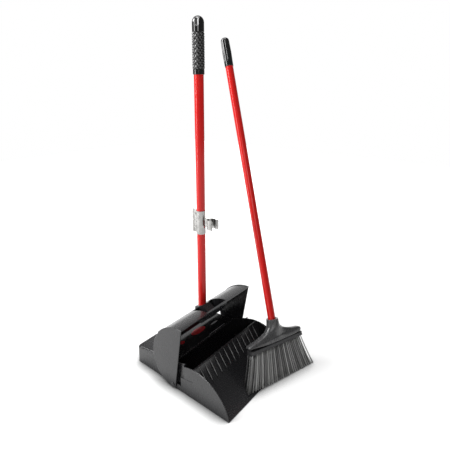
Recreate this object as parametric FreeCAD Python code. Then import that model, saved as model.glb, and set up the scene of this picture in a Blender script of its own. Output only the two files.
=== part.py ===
import FreeCAD, Part
import math
import os

# Lobby dust pan with a pivoting hood and a long handle, and the broom that stands at its mouth.
# Frame: origin on the floor below the hood's pivot, X across the pan, -Y towards the mouth, +Z up.
# The pan rests flat on z = 0. All lengths are in millimetres and all angles in degrees.

V = FreeCAD.Vector

# Pan
PAN_HALF = 148.0            # outer face of the mouth's side walls
BIN_HALF = 141.0            # outer face of the rear bin's side walls
WALL = 2.5
FLOOR = 3.0
LIP_Y = -197.0
LIP_Z = 1.6
REAR_Y = 169.0
REAR_LEAN = 3.0             # the rear wall leans in by this much over its height
CREST_Y = -76.0
CREST_Z = 96.0
RAMP_MID = (-136.0, 24.0)
WALL_REAR_Y = -40.0
WALL_STEP_Y = -28.0
WALL_STEP_Z = 50.0
WALL_BAND_Y = 14.0
WALL_BAND_Z = 18.0
WALL_EDGE_R = 0.9           # rounding of the mouth walls' top edges
BEAD = 0.8                  # how far the walls' raised lines stand out
UPPER_BEAD = [(-72.0, 54.0), (-29.0, 48.0), (-29.0, 49.8), (-72.0, 56.0)]
LOWER_BEAD = [(-70.0, 6.0), (-46.0, 6.0), (-46.0, 7.2), (-70.0, 7.2)]
CREST_BACK_Y = -66.0        # where the ridge's back wall meets the bin floor

# Comb ribs below the crest
RIB_COUNT = 13
RIB_PITCH = 20.6
RIB_THICK = 2.2
RIB_FOOT = (-114.0, 41.0)
RIB_MID = (-99.7, 61.6)     # on the rib's free edge
RIB_ROOT = [(-112.0, 39.5), (-95.8, 58.6), (-73.5, 92.0)]  # inside the ramp
CREST_BAR_R = 2.2

# Bin cover
COVER_SEAM_Z = 40.0
COVER_SEAM_GAP = 0.2
COVER_FRONT = (6.0, 76.0)
COVER_KNEE = (88.0, 68.0)
COVER_REAR_Z = 57.0
COVER_ROUND = 8.0
COVER_ROLL_R = 1.9          # rolled front edge
CORNER_ROUND = 12.0
LABEL_HALF = 95.0
LABEL_X = 14.0
LABEL_DEPTH = 60.0
LABEL_THICK = 0.5

# Pivot
PIVOT_Y = 0.0
PIVOT_Z = 12.0
PIN_R = 4.0
PIN_HEAD_R = 5.5
PIN_HEAD_H = 2.0
PIN_PLAY = 0.08             # radial clearance of the hood's cheek on the pin
BOSS_R = 8.5
CHEEK_GAP = 0.3             # gap from the boss's end face to the hood's cheek
RETAINER_R = 7.5
RETAINER_H = 1.2

# Hood
CHEEK_IN = 149.5            # inner face of the hood's cheeks
CHEEK_OUT = 152.0
DRUM_C = (-42.0, 88.0)
DRUM_R = 118.5
DRUM_END_DEG = -5.0         # rear lower edge of the drum, measured from +Y about its centre
HOOD_FRONT = (-40.0, DRUM_C[1] + math.sqrt(DRUM_R ** 2 - (-40.0 - DRUM_C[0]) ** 2))
HOOD_TURN = 80.0            # how far the hood turns down to close the mouth
CORNER_R = 10.0             # cheek corner about the pivot
CHEEK_EDGE_R = 1.4
CHEEK_BACK_Z = 30.0         # below this the cheek's rear edge curves in to the pivot
RIM_R = 120.1
RIM_WIDE = 4.0
RIM_END_DEG = 38.0
RECESS_HALF = 43.0
RECESS_TOP_Z = 212.0
RECESS = [(-34.0, RECESS_TOP_Z), (-31.5, 193.0), (-14.0, 166.0), (24.0, 166.0), (24.0, RECESS_TOP_Z)]
SOCKET_HALF = 15.0
SOCKET_FRONT_Y = 3.0
SOCKET_BACK_Y = 41.0
SOCKET_LOW_Z = 145.0
SCREW_Z = 154.0
SCREW_HOLE_R = 1.75
SOCKET_SLOPE = [(-20.0, 166.0), (-20.0, 182.0), (7.0, 199.0), (38.0, 184.0), (38.0, 166.0)]

# Pan handle
HANDLE_Y = 22.0
TUBE_R = 11.9
TUBE_WALL = 1.0
TUBE_LOW_Z = 148.0
GRIP_LOW_Z = 823.0
HANDLE_TOP_Z = 947.0
GRIP_R = 14.1
GRIP_COLLAR_R = 13.8
GRIP_CORE_R = 12.5          # under the bumps of the hand hold
GRIP_HOLD = (834.0, 913.0)  # height range of the hand hold
GRIP_DOME = 13.5
GRIP_BEVEL = 0.7
GRIP_TURN = -60.0           # the slot runs from the left front to the right rear
SLOT_WIDE = 8.0
SLOT_Z = (924.5, 943.0)

# Broom clip on the pan handle
CLIP_LOW_Z = 418.0
CLIP_TALL = 66.0
SHEET = 1.0
FLANGE_REACH = 31.0
TONGUE_LOW_Z = 438.0
TONGUE_TALL = 27.0
CLAW_Y = -15.0
CLAW_R = 10.9               # inside radius of the spring claw
CLAW_OPEN_DEG = 50.0        # half angle of the claw's mouth
CLAW_LIP = 8.0
RIVET_R = 2.2

# Broom, in its own frame: u along the head, v up the handle, w from front to back
BROOM_BASE = V(82.0, -214.0, 0.0)
BROOM_TURN = -16.5
BROOM_LEAN = 20.6
BROOM_TILT = 1.7
BROOM_LONG = 990.0
BROOM_TUBE_R = 11.1
BROOM_TUBE_WALL = 0.9
BROOM_TUBE_LOW = 132.0
END_CAP_LOW = 909.0
END_CAP_R = 12.0
END_CAP_DOME = 8.0
BLOCK_HALF = 99.0
BLOCK_LOW = 97.0
BLOCK_TALL = 10.0
BLOCK_DEEP = 13.5           # half depth
CAP_LOW = 108.0
CAP_SIDE = [(95.0, 108.0), (100.0, 112.0), (99.0, 117.0), (95.0, 119.5), (70.0, 125.0), (45.0, 133.0),
            (28.0, 144.0), (20.0, 152.0)]  # right half of the cap's front outline
CAP_DEEP = 14.5
CAP_ROUND = 3.0
SOCKET_TOP = 174.0
SOCKET_R_LOW = 20.0
SOCKET_R_TOP = 16.0
ROW_COUNT = 5
ROW_PITCH = 5.2
ROW_THICK = 3.6
ROW_TIP_PITCH = 6.0
ROW_TIP_THICK = 4.6
ROOT_HALF = 96.0
TIP_HALF = 130.0
FLOOR_CLEAR = 0.5
RAMP_CLEAR = 1.0


def yz(point, x=0.0):
    """Vector at X = x for a (y, z) pair."""
    return V(x, point[0], point[1])


def line(a, b):
    """Straight edge between two (y, z) points."""
    return Part.LineSegment(yz(a), yz(b)).toShape()


def arc(a, mid, b):
    """Circular edge through three (y, z) points."""
    return Part.Arc(yz(a), yz(mid), yz(b)).toShape()


def on_circle(centre, radius, deg):
    """Point on a circle in the YZ plane, the angle measured from +Y towards +Z."""
    a = math.radians(deg)
    return (centre[0] + radius * math.cos(a), centre[1] + radius * math.sin(a))


def extrude_x(edges, x0, x1):
    """Solid between X = x0 and X = x1 with the closed YZ outline in edges."""
    wire = Part.Wire(Part.__sortEdges__(edges))
    face = Part.Face(wire)
    face.translate(V(x0, 0, 0))
    return face.extrude(V(x1 - x0, 0, 0))


def polygon_x(points, x0, x1):
    """Solid between two X values with a straight-sided YZ outline."""
    closed = points + [points[0]]
    edges = [line(a, b) for a, b in zip(closed[:-1], closed[1:])]
    return extrude_x(edges, x0, x1)


def box(x0, x1, y0, y1, z0, z1):
    """Axis-aligned box from its limits."""
    return Part.makeBox(x1 - x0, y1 - y0, z1 - z0, V(x0, y0, z0))


def rod(radius, start, end):
    """Cylinder between two points."""
    along = end - start
    return Part.makeCylinder(radius, along.Length, start, along)


def mirrored(shape):
    """Copy of a shape on the other side of the pan's middle plane."""
    return shape.mirror(V(0, 0, 0), V(1, 0, 0))


def both_sides(shape):
    """A shape and its mirror image, fused."""
    return shape.fuse(mirrored(shape))


def round_edges(shape, radius, wanted):
    """Fillet the edges for which wanted(middle point, length) holds."""
    chosen = []
    for edge in shape.Edges:
        middle = edge.valueAt((edge.FirstParameter + edge.LastParameter) / 2.0)
        if wanted(middle, edge.Length):
            chosen.append(edge)
    return shape.makeFillet(radius, chosen)


def ramp_arc(rise):
    """Edge of the ramp's upper face, raised by rise, from the lip to the crest."""
    lip = (LIP_Y, LIP_Z + rise)
    middle = (RAMP_MID[0] - 0.5 * rise, RAMP_MID[1] + 0.87 * rise)
    crest = (CREST_Y - 0.9 * rise, CREST_Z + 0.4 * rise)
    return lip, middle, crest


def mouth_radius():
    """Radius of the side walls' top edge about the closed drum's centre."""
    return DRUM_R - WALL - 1.0


def closed_drum_centre():
    """Centre of the drum once the hood is turned down over the mouth."""
    turn = math.radians(HOOD_TURN)
    y = DRUM_C[0] - PIVOT_Y
    z = DRUM_C[1] - PIVOT_Z
    return (PIVOT_Y + y * math.cos(turn) - z * math.sin(turn),
            PIVOT_Z + y * math.sin(turn) + z * math.cos(turn))


def mouth_wall():
    """Side wall of the mouth, with the stepped rear edge and the low band past the pivot."""
    centre = closed_drum_centre()
    radius = mouth_radius()
    foot = (centre[0] - math.sqrt(radius ** 2 - centre[1] ** 2), 0.0)
    top = (WALL_REAR_Y, centre[1] + math.sqrt(radius ** 2 - (WALL_REAR_Y - centre[0]) ** 2))
    over = on_circle(centre, radius, 115.0)
    corners = [top, (WALL_REAR_Y, WALL_STEP_Z), (WALL_STEP_Y, WALL_STEP_Z),
               (WALL_STEP_Y, WALL_BAND_Z), (WALL_BAND_Y, WALL_BAND_Z), (WALL_BAND_Y, 0.0), foot]
    edges = [arc(foot, over, top)]
    edges += [line(a, b) for a, b in zip(corners[:-1], corners[1:])]
    wall = extrude_x(edges, PAN_HALF - WALL, PAN_HALF)
    return round_edges(wall, WALL_EDGE_R, lambda m, size: size > 150.0 and m.z > 40.0)


def wall_beads():
    """Two thin raised lines along the outside of a mouth wall."""
    root = PAN_HALF - 1.0
    face = PAN_HALF + BEAD
    return [polygon_x(UPPER_BEAD, root, face), polygon_x(LOWER_BEAD, root, face)]


def rear_face_y(z):
    """Y of the bin's leaning rear face at height z."""
    return REAR_Y - REAR_LEAN * z / COVER_REAR_Z


def bin_tub():
    """Inset side walls, rear wall and floor of the bin, rounded at its two rear corners."""
    outline = [(WALL_REAR_Y, 0.0), (WALL_REAR_Y, CREST_Z), COVER_FRONT, (COVER_FRONT[0], COVER_SEAM_Z),
               (rear_face_y(COVER_SEAM_Z), COVER_SEAM_Z), (REAR_Y, 0.0)]
    outer = round_edges(polygon_x(outline, -BIN_HALF, BIN_HALF), CORNER_ROUND, is_rear_corner)
    high = CREST_Z + 10.0
    front = WALL_REAR_Y - 10.0
    hollow = [(front, FLOOR), (front, high), (rear_face_y(high) - WALL, high),
              (rear_face_y(FLOOR) - WALL, FLOOR)]
    inner = polygon_x(hollow, -BIN_HALF + WALL, BIN_HALF - WALL)
    inner = round_edges(inner, CORNER_ROUND - WALL, is_rear_corner)
    return outer.cut(inner)


def is_rear_corner(middle, length):
    """True for the long upright edges at the bin's two rear corners."""
    return abs(abs(middle.x) - BIN_HALF) < WALL + 0.1 and middle.y > REAR_Y - 12.0 and length > 20.0 \
        and middle.z > 5.0 and abs(middle.z - COVER_SEAM_Z) > 5.0


def ridge():
    """Concave ramp from the lip to the crest, with the short wall that drops into the bin."""
    lip, middle, crest = ramp_arc(0.0)
    under = [(LIP_Y + 3.0, 0.0), (RAMP_MID[0] + 2.0, RAMP_MID[1] - 3.2), (CREST_Y + 2.2, CREST_Z - 7.0)]
    back = [(CREST_BACK_Y - WALL, 0.0), (CREST_BACK_Y, 0.0), (CREST_Y + 4.0, CREST_Z)]
    edges = [arc(lip, middle, crest), line(crest, back[2]), line(back[2], back[1])]
    edges += [line(back[1], back[0]), line(back[0], under[2])]
    edges += [arc(under[2], under[1], under[0]), line(under[0], (LIP_Y, 0.0)), line((LIP_Y, 0.0), lip)]
    return extrude_x(edges, -PAN_HALF, PAN_HALF)


def comb_rib(x):
    """One low rib of the comb that cleans the bristles, running down the ramp from the crest."""
    crest = (CREST_Y + 1.0, CREST_Z)
    edges = [arc(crest, RIB_MID, RIB_FOOT), line(RIB_FOOT, RIB_ROOT[0])]
    edges += [arc(*RIB_ROOT), line(RIB_ROOT[2], crest)]
    return extrude_x(edges, x - RIB_THICK / 2.0, x + RIB_THICK / 2.0)


def pivot_boss():
    """Boss on the bin wall that carries a pivot pin."""
    outer = CHEEK_IN - CHEEK_GAP
    return rod(BOSS_R, V(BIN_HALF - WALL, PIVOT_Y, PIVOT_Z), V(outer, PIVOT_Y, PIVOT_Z))


def pan_tray():
    """Moulded tray: mouth walls, ramp with comb, bin floor and bin walls."""
    link = box(-BIN_HALF, BIN_HALF, CREST_BACK_Y - WALL, WALL_REAR_Y + 1.0, 0.0, FLOOR)
    step = box(BIN_HALF - WALL, PAN_HALF, WALL_REAR_Y - WALL, WALL_REAR_Y, 0.0, CREST_Z)
    strip = box(BIN_HALF - WALL, PAN_HALF, CREST_BACK_Y - WALL, WALL_BAND_Y, 0.0, FLOOR)
    side = mouth_wall().multiFuse(wall_beads() + [step, strip, pivot_boss()])
    crest_bar = rod(CREST_BAR_R, V(-PAN_HALF, CREST_Y + 1.0, CREST_Z - 0.6),
                    V(PAN_HALF, CREST_Y + 1.0, CREST_Z - 0.6))
    first = -RIB_PITCH * (RIB_COUNT - 1) / 2.0
    ribs = [comb_rib(first + i * RIB_PITCH) for i in range(RIB_COUNT)]
    body = bin_tub().multiFuse([link, side, mirrored(side), ridge(), crest_bar] + ribs)
    bore = rod(PIN_R, V(BIN_HALF - 3.0 * WALL, PIVOT_Y, PIVOT_Z), V(CHEEK_OUT, PIVOT_Y, PIVOT_Z))
    return body.cut(both_sides(bore)).removeSplitter()


def cover_block(inset):
    """Solid outline of the bin cover, shrunk by inset on every side but the seam."""
    low = COVER_SEAM_Z + COVER_SEAM_GAP - (5.0 if inset else 0.0)
    rear = REAR_Y - REAR_LEAN - inset
    front = COVER_FRONT[0] - (5.0 if inset else 0.0)
    slope = (COVER_FRONT[1] - COVER_KNEE[1]) / (COVER_KNEE[0] - COVER_FRONT[0])
    front_z = COVER_FRONT[1] - inset + slope * (COVER_FRONT[0] - front)
    seam_y = rear + REAR_LEAN * (COVER_REAR_Z - low) / COVER_REAR_Z
    points = [(front, low), (front, front_z), (COVER_KNEE[0], COVER_KNEE[1] - inset),
              (rear, COVER_REAR_Z - inset), (seam_y, low)]
    half = BIN_HALF - inset
    block = polygon_x(points, -half, half)
    block = round_edges(block, max(CORNER_ROUND - inset, 2.0),
                        lambda m, size: abs(abs(m.x) - half) < 0.1 and m.y > rear - 0.5)
    return round_edges(block, max(COVER_ROUND - inset, 2.0),
                       lambda m, size: m.z > COVER_REAR_Z - inset - 0.5 and is_cover_brow(m, half, rear))


def is_cover_brow(middle, half, rear):
    """True for the edges round the top of the cover, but not its front edge or knee."""
    at_side = abs(abs(middle.x) - half) < 0.1
    at_back = middle.y > rear - CORNER_ROUND
    return (at_side or at_back) and middle.y > COVER_FRONT[0] + 1.0


def bin_cover():
    """Cover shell over the rear bin, open at the front and below."""
    roll = rod(COVER_ROLL_R, V(-BIN_HALF + COVER_ROUND, COVER_FRONT[0] + 0.6, COVER_FRONT[1] - 1.2),
               V(BIN_HALF - COVER_ROUND, COVER_FRONT[0] + 0.6, COVER_FRONT[1] - 1.2))
    return cover_block(0.0).cut(cover_block(WALL)).fuse(roll)


def cover_label():
    """Plain label stuck on the flat part of the cover, near its front edge."""
    slope = (COVER_FRONT[1] - COVER_KNEE[1]) / (COVER_KNEE[0] - COVER_FRONT[0])
    near = COVER_FRONT[0] + 4.0
    far = near + LABEL_DEPTH
    near_z = COVER_FRONT[1] - slope * 4.0
    far_z = near_z - slope * LABEL_DEPTH
    points = [(near, near_z), (far, far_z), (far, far_z + LABEL_THICK), (near, near_z + LABEL_THICK)]
    return polygon_x(points, LABEL_X - LABEL_HALF, LABEL_X + LABEL_HALF)


def pivot_pin(side):
    """Headed pin from outside the cheek to inside the bin, on side +1 or -1."""
    head_in = CHEEK_OUT + 0.15
    shank = rod(PIN_R, V(side * (BIN_HALF - WALL - RETAINER_H - 1.6), PIVOT_Y, PIVOT_Z),
                V(side * head_in, PIVOT_Y, PIVOT_Z))
    head = rod(PIN_HEAD_R, V(side * head_in, PIVOT_Y, PIVOT_Z),
               V(side * (head_in + PIN_HEAD_H), PIVOT_Y, PIVOT_Z))
    head = round_edges(head, 1.2, lambda m, size: abs(m.x) > head_in + 1.0 and size > 20.0)
    return shank.fuse(head).removeSplitter()


def pivot_retainer(side):
    """Push-on ring that holds a pivot pin inside the bin."""
    inner = BIN_HALF - WALL - RETAINER_H - 0.1
    start = V(side * inner, PIVOT_Y, PIVOT_Z)
    end = V(side * (inner + RETAINER_H), PIVOT_Y, PIVOT_Z)
    return rod(RETAINER_R, start, end).cut(rod(PIN_R, start, end))


def cheek():
    """One D-shaped cheek of the hood with the pin's hole."""
    reach = math.hypot(HOOD_FRONT[0] - PIVOT_Y, HOOD_FRONT[1] - PIVOT_Z)
    lean = math.degrees(math.atan2(HOOD_FRONT[1] - PIVOT_Z, HOOD_FRONT[0] - PIVOT_Y))
    tangent = lean + math.degrees(math.acos(CORNER_R / reach))
    pivot = (PIVOT_Y, PIVOT_Z)
    start = on_circle(pivot, CORNER_R, tangent)
    low = (PIVOT_Y, PIVOT_Z - CORNER_R)
    drop = DRUM_C[1] - CHEEK_BACK_Z
    back = (DRUM_C[0] + math.sqrt(DRUM_R ** 2 - drop ** 2), CHEEK_BACK_Z)
    edges = [line(start, HOOD_FRONT), arc(HOOD_FRONT, on_circle(DRUM_C, DRUM_R, 25.0), back)]
    rise = back[1] - low[1]
    under_r = ((back[0] - low[0]) ** 2 + rise ** 2) / (2.0 * rise)
    under_c = (low[0], low[1] + under_r)
    slope = math.degrees(math.atan2(back[1] - under_c[1], back[0] - under_c[0]))
    edges += [arc(back, on_circle(under_c, under_r, (slope - 90.0) / 2.0), low)]
    edges += [arc(low, on_circle(pivot, CORNER_R, (tangent + 270.0) / 2.0), start)]
    plate = extrude_x(edges, CHEEK_IN, CHEEK_OUT)
    plate = round_edges(plate, CHEEK_EDGE_R, lambda m, size: abs(m.x - CHEEK_OUT) < 0.1)
    hole = rod(PIN_R + PIN_PLAY, V(CHEEK_IN - 1.0, PIVOT_Y, PIVOT_Z), V(CHEEK_OUT + 1.0, PIVOT_Y, PIVOT_Z))
    return plate.cut(hole)


def drum_band(radius_in, radius_out, first_deg, last_deg, x0, x1):
    """Part of a tube about the drum's centre between two angles."""
    middle = (first_deg + last_deg) / 2.0
    outer = [on_circle(DRUM_C, radius_out, a) for a in (first_deg, middle, last_deg)]
    inner = [on_circle(DRUM_C, radius_in, a) for a in (first_deg, middle, last_deg)]
    edges = [arc(*outer), line(outer[2], inner[2]), arc(*inner), line(inner[0], outer[0])]
    return extrude_x(edges, x0, x1)


def drum():
    """Curved top of the hood with a raised rim at each end."""
    first = math.degrees(math.atan2(HOOD_FRONT[1] - DRUM_C[1], HOOD_FRONT[0] - DRUM_C[0]))
    shell = drum_band(DRUM_R - WALL, DRUM_R, DRUM_END_DEG, first, -CHEEK_IN, CHEEK_IN)
    rim = drum_band(DRUM_R - 1.6, RIM_R, RIM_END_DEG, first, CHEEK_OUT - RIM_WIDE, CHEEK_OUT)
    rim = round_edges(rim, 0.7, lambda m, size: size > 60.0
                      and math.hypot(m.y - DRUM_C[0], m.z - DRUM_C[1]) > DRUM_R)
    return shell.fuse(both_sides(rim))


def drum_inside(x0, x1):
    """Everything under the drum's outer surface and behind the hood's front edge."""
    edge = on_circle(DRUM_C, DRUM_R, 0.0)
    front = HOOD_FRONT[0] - 22.0
    edges = [arc(HOOD_FRONT, on_circle(DRUM_C, DRUM_R, 45.0), edge), line(edge, (front, edge[1]))]
    edges += [line((front, edge[1]), (front, HOOD_FRONT[1])), line((front, HOOD_FRONT[1]), HOOD_FRONT)]
    return extrude_x(edges, x0, x1)


def grown(points, by):
    """Recess outline pushed outward by a wall thickness on its three lower sides."""
    front_top, front_mid, low_front, low_back, back_top = points
    return [(front_top[0] - by, front_top[1]), (front_mid[0] - by, front_mid[1] - 0.4 * by),
            (low_front[0] - 0.5 * by, low_front[1] - by), (low_back[0] + by, low_back[1] - by),
            (back_top[0] + by, back_top[1])]


def hood():
    """Hood: two cheeks, the drum, and the recessed socket that takes the handle."""
    shell = drum().multiFuse([cheek(), mirrored(cheek())])
    half = RECESS_HALF + WALL
    tub = polygon_x(grown(RECESS, WALL), -half, half).common(drum_inside(-half, half))
    hollow = polygon_x(RECESS, -RECESS_HALF, RECESS_HALF)
    column = box(-SOCKET_HALF, SOCKET_HALF, SOCKET_FRONT_Y, SOCKET_BACK_Y, SOCKET_LOW_Z, RECESS_TOP_Z)
    column = column.common(drum_inside(-SOCKET_HALF, SOCKET_HALF))
    slope = polygon_x(SOCKET_SLOPE, -SOCKET_HALF, SOCKET_HALF)
    above_slope = polygon_x(SOCKET_SLOPE[1:4] + [(38.0, 215.0), (-20.0, 215.0)], -SOCKET_HALF, SOCKET_HALF)
    body = shell.fuse(tub).cut(hollow).multiFuse([column.cut(above_slope), slope])
    bore = rod(TUBE_R, V(0, HANDLE_Y, TUBE_LOW_Z), V(0, HANDLE_Y, 230.0))
    screw_way = rod(SCREW_HOLE_R, V(0, SOCKET_FRONT_Y - 1.0, SCREW_Z), V(0, HANDLE_Y - 2.0, SCREW_Z))
    return body.cut(bore.fuse(screw_way)).removeSplitter()


def tube(radius, wall, low, high):
    """Round tube standing on the origin's axis."""
    outer = Part.makeCylinder(radius, high - low, V(0, 0, low))
    return outer.cut(Part.makeCylinder(radius - wall, high - low, V(0, 0, low)))


def pan_handle_tube():
    """Steel tube of the pan handle with the hole for the socket screw."""
    pipe = tube(TUBE_R, TUBE_WALL, TUBE_LOW_Z, HANDLE_TOP_Z - 37.0)
    pipe.translate(V(0, HANDLE_Y, 0))
    return pipe.cut(rod(SCREW_HOLE_R, V(0, 0, SCREW_Z), V(0, HANDLE_Y - 5.0, SCREW_Z)))


def spun(points, arcs=()):
    """Solid of revolution about Z from (r, z) points; arcs names edges as {start index: mid point}."""
    bends = dict(arcs)
    edges = []
    closed = points + [points[0]]
    for i, (a, b) in enumerate(zip(closed[:-1], closed[1:])):
        start = V(a[0], 0, a[1])
        end = V(b[0], 0, b[1])
        if i in bends:
            edges.append(Part.Arc(start, V(bends[i][0], 0, bends[i][1]), end).toShape())
        else:
            edges.append(Part.LineSegment(start, end).toShape())
    face = Part.Face(Part.Wire(edges))
    return face.revolve(V(0, 0, 0), V(0, 0, 1), 360)


def dome_middle(radius, height, top):
    """Middle point of the arc of a spherical dome, from its rim radius, height and top."""
    ball = (radius ** 2 + height ** 2) / (2.0 * height)
    half = math.atan2(radius, ball - height) / 2.0
    return (ball * math.sin(half), top - ball + ball * math.cos(half))


def pan_grip():
    """Moulded hand grip with a collar, a slimmer core, a domed end and a tall hanging slot."""
    inside = HANDLE_TOP_Z - 37.0
    dome = HANDLE_TOP_Z - GRIP_DOME
    low, high = GRIP_HOLD
    soft = GRIP_BEVEL
    points = [(TUBE_R, GRIP_LOW_Z), (GRIP_COLLAR_R - soft, GRIP_LOW_Z), (GRIP_COLLAR_R, GRIP_LOW_Z + soft),
              (GRIP_COLLAR_R, low), (GRIP_CORE_R, low), (GRIP_CORE_R, high), (GRIP_R - soft, high),
              (GRIP_R, high + soft), (GRIP_R, dome), (0.0, HANDLE_TOP_Z), (0.0, inside), (TUBE_R, inside)]
    body = spun(points, {8: dome_middle(GRIP_R, GRIP_DOME, HANDLE_TOP_Z)})
    slot = box(-SLOT_WIDE / 2.0, SLOT_WIDE / 2.0, -20.0, 20.0, SLOT_Z[0], SLOT_Z[1])
    slot = round_edges(slot, SLOT_WIDE / 2.0 - 0.1, lambda m, size: size > 39.0)
    slot.rotate(V(0, 0, 0), V(0, 0, 1), GRIP_TURN)
    body = body.cut(slot)
    body.translate(V(0, HANDLE_Y, 0))
    return body


def socket_screw():
    """Pan-head screw through the socket's front wall into the handle tube."""
    shank = rod(SCREW_HOLE_R - 0.05, V(0, SOCKET_FRONT_Y, SCREW_Z), V(0, HANDLE_Y - 9.0, SCREW_Z))
    head = rod(3.6, V(0, SOCKET_FRONT_Y - 2.4, SCREW_Z), V(0, SOCKET_FRONT_Y, SCREW_Z))
    head = round_edges(head, 1.2, lambda m, size: m.y < SOCKET_FRONT_Y - 2.0 and size > 12.0)
    slot = box(-2.6, 2.6, SOCKET_FRONT_Y - 3.0, SOCKET_FRONT_Y - 1.4, SCREW_Z - 0.5, SCREW_Z + 0.5)
    return shank.fuse(head).cut(slot).removeSplitter()


def clip_sleeve():
    """Sheet sleeve round the handle, its two ends pinched together behind."""
    outer_r = TUBE_R + SHEET
    low = CLIP_LOW_Z
    ring = Part.makeCylinder(outer_r, CLIP_TALL, V(0, HANDLE_Y, low))
    back = HANDLE_Y + FLANGE_REACH
    leaves = box(-SHEET, SHEET, HANDLE_Y, back, low, low + CLIP_TALL)
    hem = box(-2.0 * SHEET, SHEET, back - 6.0, back, low, low + CLIP_TALL)
    bore = Part.makeCylinder(TUBE_R, CLIP_TALL, V(0, HANDLE_Y, low))
    window = box(-2.6, 2.6, HANDLE_Y - outer_r - 1.0, HANDLE_Y - 5.0, TONGUE_LOW_Z - 2.0,
                 TONGUE_LOW_Z + TONGUE_TALL - 6.0)
    return ring.multiFuse([leaves, hem]).cut(bore).cut(window)


def claw_outline(radius, lip_reach):
    """Points where the claw's mouth ends and where its flared lips end, for one radius."""
    a = math.radians(CLAW_OPEN_DEG)
    mouth = (radius * math.sin(a), CLAW_Y - radius * math.cos(a))
    lip = (mouth[0] + lip_reach * 0.45, mouth[1] - lip_reach * 0.9)
    return mouth, lip


def clip_claw():
    """C-shaped spring claw for the broom handle, with flared lips, on a short tongue."""
    low = TONGUE_LOW_Z
    ring = Part.makeCylinder(CLAW_R + SHEET, TONGUE_TALL, V(0, CLAW_Y, low))
    ring = ring.cut(Part.makeCylinder(CLAW_R, TONGUE_TALL, V(0, CLAW_Y, low)))
    mouth, lip = claw_outline(CLAW_R, CLAW_LIP)
    mouth_out, lip_out = claw_outline(CLAW_R + SHEET, CLAW_LIP)
    wedge = [V(0, CLAW_Y, low), V(mouth[0] * 2.0, CLAW_Y + (mouth[1] - CLAW_Y) * 2.0, low),
             V(-mouth[0] * 2.0, CLAW_Y + (mouth[1] - CLAW_Y) * 2.0, low), V(0, CLAW_Y, low)]
    gap = Part.Face(Part.makePolygon(wedge)).extrude(V(0, 0, TONGUE_TALL))
    corners = [V(mouth[0], mouth[1], low), V(lip[0], lip[1], low), V(lip_out[0], lip_out[1], low),
               V(mouth_out[0], mouth_out[1], low), V(mouth[0], mouth[1], low)]
    flare = Part.Face(Part.makePolygon(corners)).extrude(V(0, 0, TONGUE_TALL))
    tongue = box(-SHEET, SHEET, CLAW_Y + CLAW_R + SHEET / 2.0, HANDLE_Y - TUBE_R - SHEET / 2.0,
                 TONGUE_LOW_Z + 3.0, TONGUE_LOW_Z + TONGUE_TALL)
    return ring.cut(gap).multiFuse([flare, mirrored(flare), tongue])


def broom_clip():
    """Bright sheet clip: sleeve on the pan handle and claw for the broom handle."""
    return clip_sleeve().fuse(clip_claw()).cut(clip_rivet_holes()).removeSplitter()


def rivet_heights():
    """Heights of the two rivets through the pinched ends."""
    return [CLIP_LOW_Z + 14.0, CLIP_LOW_Z + CLIP_TALL - 14.0]


def clip_rivet_holes():
    """Holes for the two rivets."""
    y = HANDLE_Y + FLANGE_REACH - 10.5
    holes = [rod(RIVET_R, V(-5.0, y, z), V(5.0, y, z)) for z in rivet_heights()]
    return holes[0].fuse(holes[1])


def clip_rivets():
    """Two round-headed rivets that pinch the sleeve's ends together."""
    y = HANDLE_Y + FLANGE_REACH - 10.5
    rivets = []
    for z in rivet_heights():
        shank = rod(RIVET_R, V(-SHEET, y, z), V(SHEET, y, z))
        heads = [rod(RIVET_R + 1.6, V(s * SHEET, y, z), V(s * (SHEET + 1.4), y, z)) for s in (-1, 1)]
        rivets.append(shank.multiFuse(heads).removeSplitter())
    return Part.makeCompound(rivets)


def broom_placement():
    """Where the broom's own frame stands: turned about Z, leaned back, tilted sideways."""
    turn = FreeCAD.Rotation(V(0, 0, 1), BROOM_TURN)
    lean = FreeCAD.Rotation(V(1, 0, 0), -BROOM_LEAN)
    tilt = FreeCAD.Rotation(V(0, 1, 0), BROOM_TILT)
    return FreeCAD.Placement(BROOM_BASE, turn.multiply(lean).multiply(tilt))


def set_in_place(shape):
    """Copy of a broom shape moved from the broom's frame to the pan's."""
    moved = shape.copy()
    moved.Placement = broom_placement().multiply(moved.Placement)
    return moved


def broom_tube():
    """Steel tube of the broom handle."""
    return set_in_place(tube(BROOM_TUBE_R, BROOM_TUBE_WALL, BROOM_TUBE_LOW, BROOM_LONG - 20.0))


def broom_thread_insert():
    """Plastic plug in the tube's lower end, with the screwed stud that the head takes."""
    inner = BROOM_TUBE_R - BROOM_TUBE_WALL
    low = BROOM_TUBE_LOW
    points = [(0.0, low - 14.0), (7.0, low - 14.0), (8.0, low - 12.0), (8.0, low - 2.0),
              (BROOM_TUBE_R - 0.2, low - 2.0), (BROOM_TUBE_R - 0.2, low), (inner, low),
              (inner, low + 34.0), (0.0, low + 34.0)]
    return set_in_place(spun(points))


def broom_end_cap():
    """Long push-on end cap, a little thicker at its waist, with a domed top."""
    high = BROOM_LONG
    inside = BROOM_LONG - 20.0
    points = [(BROOM_TUBE_R, END_CAP_LOW), (12.2, END_CAP_LOW), (13.0, END_CAP_LOW + 40.0),
              (END_CAP_R, high - END_CAP_DOME), (0.0, high), (0.0, inside), (BROOM_TUBE_R, inside)]
    return set_in_place(spun(points, {3: dome_middle(END_CAP_R, END_CAP_DOME, high)}))


def head_cap_outline():
    """Front outline of the broom's head cap in (u, v), as edges in the XZ plane."""
    points = CAP_SIDE + [(-u, v) for u, v in reversed(CAP_SIDE)]
    closed = points + [points[0]]
    return [V(u, -CAP_DEEP, v) for u, v in closed]


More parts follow.
